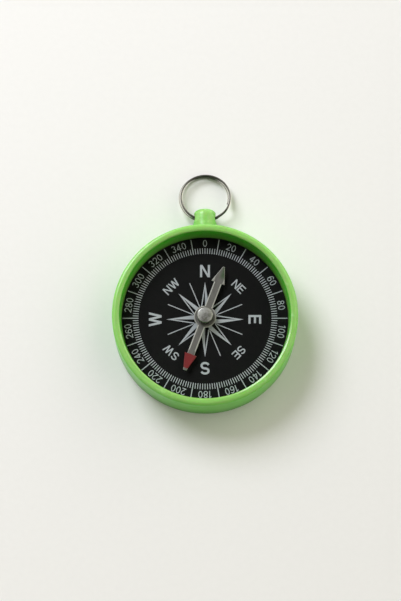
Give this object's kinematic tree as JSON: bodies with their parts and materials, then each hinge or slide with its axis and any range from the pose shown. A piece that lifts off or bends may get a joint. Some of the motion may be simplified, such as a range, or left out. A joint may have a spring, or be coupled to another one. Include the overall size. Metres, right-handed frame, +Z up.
{
  "type": "pocket compass",
  "caption": "Round plastic pocket compass: printed black dial under a flat crystal, arrow-ended magnetic needle on a pivot point, and a side lug carrying a split ring.",
  "frame": {"origin": "centre of the case's flat underside, on the needle's pivot axis", "axes": "+Z up out of the dial along the needle's pivot axis, +Y towards the lug and the dial's N, +X towards the dial's E"},
  "size_m": [0.045, 0.0605, 0.0116],
  "materials": {
    "green_plastic": "moulded lime-green plastic, glossy",
    "clear_plastic": "clear, polished",
    "dial_black": "matt black card",
    "dial_print": "pale grey ink, screen printed on the dial",
    "brass": "turned",
    "pin_steel": "hardened, ground to a point",
    "needle_steel": "stamped, dull grey, the south arrowhead painted red",
    "nickel_cap": "nickel plated, blotched with age",
    "jewel": "polished cup",
    "ring_steel": "dark spring wire, with worn bright plating"
  },
  "bodies": {
    "case": {"case_body": "green_plastic", "back_cover": "green_plastic", "crystal": "clear_plastic", "dial_card": "dial_black", "pivot_bush": "brass", "pivot_pin": "pin_steel"},
    "needle": {"needle_blade": "needle_steel", "needle_cap": "nickel_cap", "bearing_jewel": "jewel"},
    "ring": {"split_ring": "ring_steel"}
  },
  "joints": [
    {"name": "needle_spin", "type": "hinge", "parent": "case", "child": "needle", "pos_m": [0, 0, 0.00959], "axis": [0, 0, 1], "continuous": true},
    {"name": "ring_swing", "type": "hinge", "parent": "case", "child": "ring", "pos_m": [0, 0.02596, 0.00305], "axis": [1, 0, 0], "range_deg": [-115, 112]}
  ]
}
